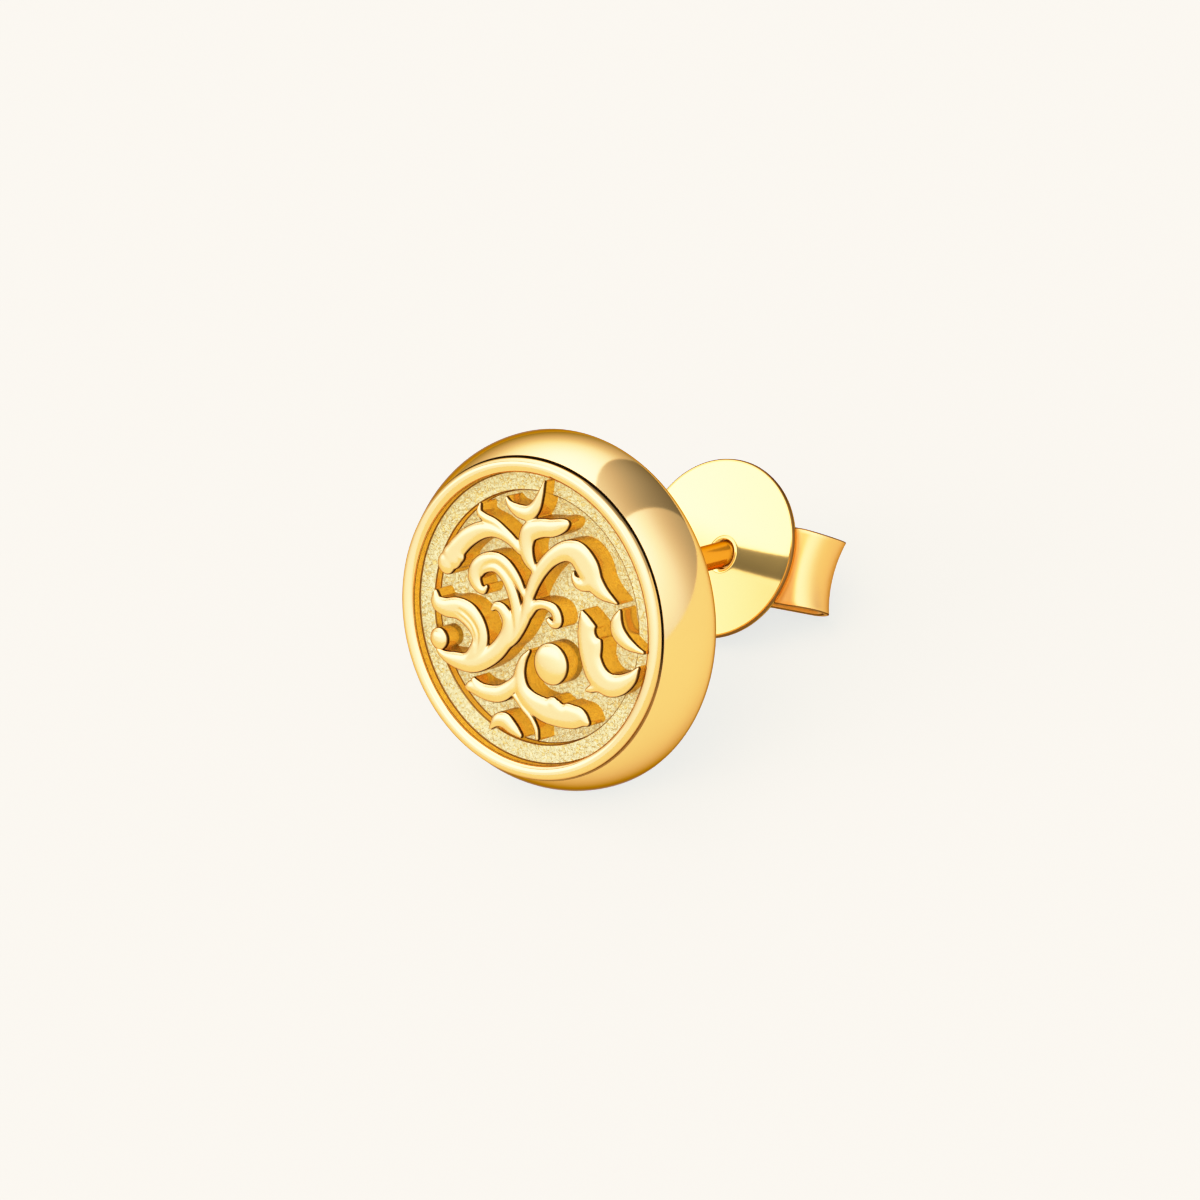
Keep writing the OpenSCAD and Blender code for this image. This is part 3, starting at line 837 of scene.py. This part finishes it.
def add_ear(name, sign):
    """An ear to the right with sign 1, or to the left with sign -1."""
    line = ear_line()
    way = np.gradient(line, axis=0)
    way /= np.linalg.norm(way, axis=1)[:, None]
    side = np.stack([-way[:, 1], way[:, 0]], axis=1) * SHEET_T / 2
    across = np.linspace(-1, 1, 17)
    half_width = np.interp(line[:, 0], [0, PLATE_R, EAR_REACH], [EAR_HALF, EAR_HALF, EAR_END_HALF])
    rings = []
    for (x, z), (nx, nz), w in zip(line, side, half_width):
        turned = min(max((x - PLATE_R + EAR_WAIST_AT) / (EAR_REACH - PLATE_R), 0.0), 1.0)
        waist = EAR_WAIST * turned * (1 - across**2)
        outer = [(sign * (x - d + nx), s * w, z + nz) for s, d in zip(across, waist)]
        inner = [(sign * (x - d - nx), s * w, z - nz) for s, d in zip(across, waist)]
        rings.append(outer + inner[::-1])
    points = len(rings[0])
    verts = [v for ring in rings for v in ring]
    faces = join_rings(len(rings), points)
    faces.append(tuple(range(points))[::-1])
    faces.append(tuple(range(len(verts) - points, len(verts))))
    if sign < 0:
        faces = [face[::-1] for face in faces]
    piece = add_piece(name, verts, faces, "back", [EAR_GOLD, EDGE_SHADE], BACK_FRAME)
    # The bevelled edges hold the painted dark shade line
    bevel = piece.modifiers.new("edge", "BEVEL")
    bevel.width = EAR_BEVEL * MM
    bevel.segments = 2
    bevel.material = 1
    bevel.limit_method = "ANGLE"
    return piece


# Floor and lights

FLOOR_COLOUR = (0.745, 0.683, 0.515, 1.0)
FLOOR_HALF = 4.0
# Soft round lights: azimuth, elevation and spread in degrees, then the gain
SOFT_LIGHTS = [
    (-30, 25, 44, 0.95),
    (25, 46, 28, 1.45),
    (-20, 85, 26, 1.35),
    (89, 17, 27, 0.68),
    (82, 46, 13, 0.3),
    (-140, 54, 24, 1.55),
]
# Cards: azimuth, elevation, half width, half height, softness and roll in degrees, then the gain, or for a
# shade the share of the light that it takes
LIGHT_CARDS = [(-42, 29, 24, 10.5, 4.0, -18, 1.7)]
SHADE_CARDS = [(168, 38, 16.5, 50, 0.5, -17, 0.62), (-62, 33.4, 12, 2.2, 0.25, -38, 0.88)]
EVEN_LIGHT = 0.4
# The sum is raised a little, and then bright parts bend over softly
LIGHT_GAIN = 1.05
LIGHT_BEND = 0.2
# Tones: each curve is pairs of light before and after it, in shares of the white level, except that the
# tone curve gives plain light. Green and blue are bent first, then all channels by the tone curve.
WHITE_LEVEL = 2.0
TONE_CURVE = ((0.2, 0.4), (0.42, 0.84), (0.5, 0.945), (0.56, 0.98), (0.65, 0.992))
GREEN_CURVE = ((0.12, 0.12), (0.22, 0.22), (0.3, 0.318), (0.36, 0.395), (0.425, 0.45), (0.5, 0.5))
BLUE_CURVE = ((0.05, 0.05), (0.086, 0.087), (0.141, 0.2), (0.245, 0.355), (0.36, 0.44), (0.5, 0.5))


def floor_material():
    material = bpy.data.materials.new("floor")
    material.use_nodes = True
    shader = material.node_tree.nodes["Principled BSDF"]
    shader.inputs["Base Color"].default_value = FLOOR_COLOUR
    shader.inputs["Roughness"].default_value = 0.9
    shader.inputs["Specular IOR Level"].default_value = 0.1
    return material


def add_floor():
    corners = [(FLOOR_HALF * x, FLOOR_HALF * y, 0) for x, y in ((-1, -1), (1, -1), (1, 1), (-1, 1))]
    mesh = bpy.data.meshes.new("floor")
    mesh.from_pydata(corners, [], [(0, 1, 2, 3)])
    mesh.materials.append(floor_material())
    floor = bpy.data.objects.new("floor", mesh)
    bpy.context.scene.collection.objects.link(floor)


class Studio:
    """Procedural studio round the part: soft lobes and cards of light, all by direction."""

    def __init__(self):
        self.world = bpy.data.worlds.new("studio")
        self.world.use_nodes = True
        self.tree = self.world.node_tree
        self.way = self.tree.nodes.new("ShaderNodeTexCoord").outputs["Generated"]

    def math(self, operation, *values):
        node = self.tree.nodes.new("ShaderNodeMath")
        node.operation = operation
        for i, value in enumerate(values):
            if isinstance(value, (int, float)):
                node.inputs[i].default_value = value
            else:
                self.tree.links.new(value, node.inputs[i])
        return node.outputs[0]

    def along(self, vector):
        node = self.tree.nodes.new("ShaderNodeVectorMath")
        node.operation = "DOT_PRODUCT"
        node.inputs[1].default_value = vector
        self.tree.links.new(self.way, node.inputs[0])
        return node.outputs["Value"]

    def lobe(self, azimuth, elevation, spread, gain):
        """A soft round light."""
        sharp = 1 / math.radians(spread) ** 2
        fall = self.math("MULTIPLY_ADD", self.along(direction(azimuth, elevation)), sharp, -sharp)
        return self.math("MULTIPLY", self.math("EXPONENT", fall), gain)

    def within(self, value, half, soft):
        """1 inside a card's edges, and 0 outside them."""
        outer, inner = (math.tan(math.radians(half + s)) for s in (soft, -soft))
        return smooth_range(self.tree, self.math("ABSOLUTE", value), outer, inner)

    def card(self, azimuth, elevation, half_width, half_height, soft, roll, gain):
        """A flat card with soft edges; seen from behind it, a roll leans its top to the right."""
        out = direction(azimuth, elevation)
        side = Vector((0, 0, 1)).cross(out).normalized()
        up = out.cross(side)
        turn = math.radians(roll)
        ahead = self.along(out)
        across = self.math("DIVIDE", self.along(side * math.cos(turn) - up * math.sin(turn)), ahead)
        height = self.math("DIVIDE", self.along(up * math.cos(turn) + side * math.sin(turn)), ahead)
        inside = self.math(
            "MULTIPLY", self.within(across, half_width, soft), self.within(height, half_height, soft)
        )
        shown = self.math("MULTIPLY", inside, self.math("GREATER_THAN", ahead, 0.0))
        return self.math("MULTIPLY", shown, gain)

    def finish(self, level, lights, shades):
        """Adds up the lights over an even level, and takes the share of each shade from the sum."""
        total = level
        for light in lights:
            total = self.math("ADD", light, total)
        for shade in shades:
            total = self.math("MULTIPLY", total, self.math("SUBTRACT", 1.0, shade))
        bend = self.math("MULTIPLY_ADD", total, LIGHT_BEND, 1.0)
        total = self.math("DIVIDE", self.math("MULTIPLY", total, LIGHT_GAIN), bend)
        background = self.tree.nodes["Background"]
        background.inputs["Color"].default_value = (1.0, 1.0, 1.0, 1.0)
        self.tree.links.new(total, background.inputs["Strength"])
        bpy.context.scene.world = self.world


def add_studio():
    studio = Studio()
    lights = [studio.lobe(*row) for row in SOFT_LIGHTS] + [studio.card(*row) for row in LIGHT_CARDS]
    shades = [studio.card(*row) for row in SHADE_CARDS]
    studio.finish(EVEN_LIGHT, lights, shades)


def set_tones():
    """Bends the brightest tones over softly, and cools pale gold by raising middle greens and blues."""
    view = bpy.context.scene.view_settings
    view.view_transform = "Standard"
    view.use_curve_mapping = True
    mapping = view.curve_mapping
    mapping.white_level = (WHITE_LEVEL,) * 3
    for channel, points in ((3, TONE_CURVE), (1, GREEN_CURVE), (2, BLUE_CURVE)):
        for before, after in points:
            mapping.curves[channel].points.new(before, after)
    mapping.update()


add_camera()
set_tones()
add_floor()
add_studio()

add_head()
add_post()
add_relief()
for bead_name, bead_row in BEADS.items():
    add_bead(bead_name, *bead_row)
add_plate()
add_ear("ear_right", 1)
add_ear("ear_left", -1)
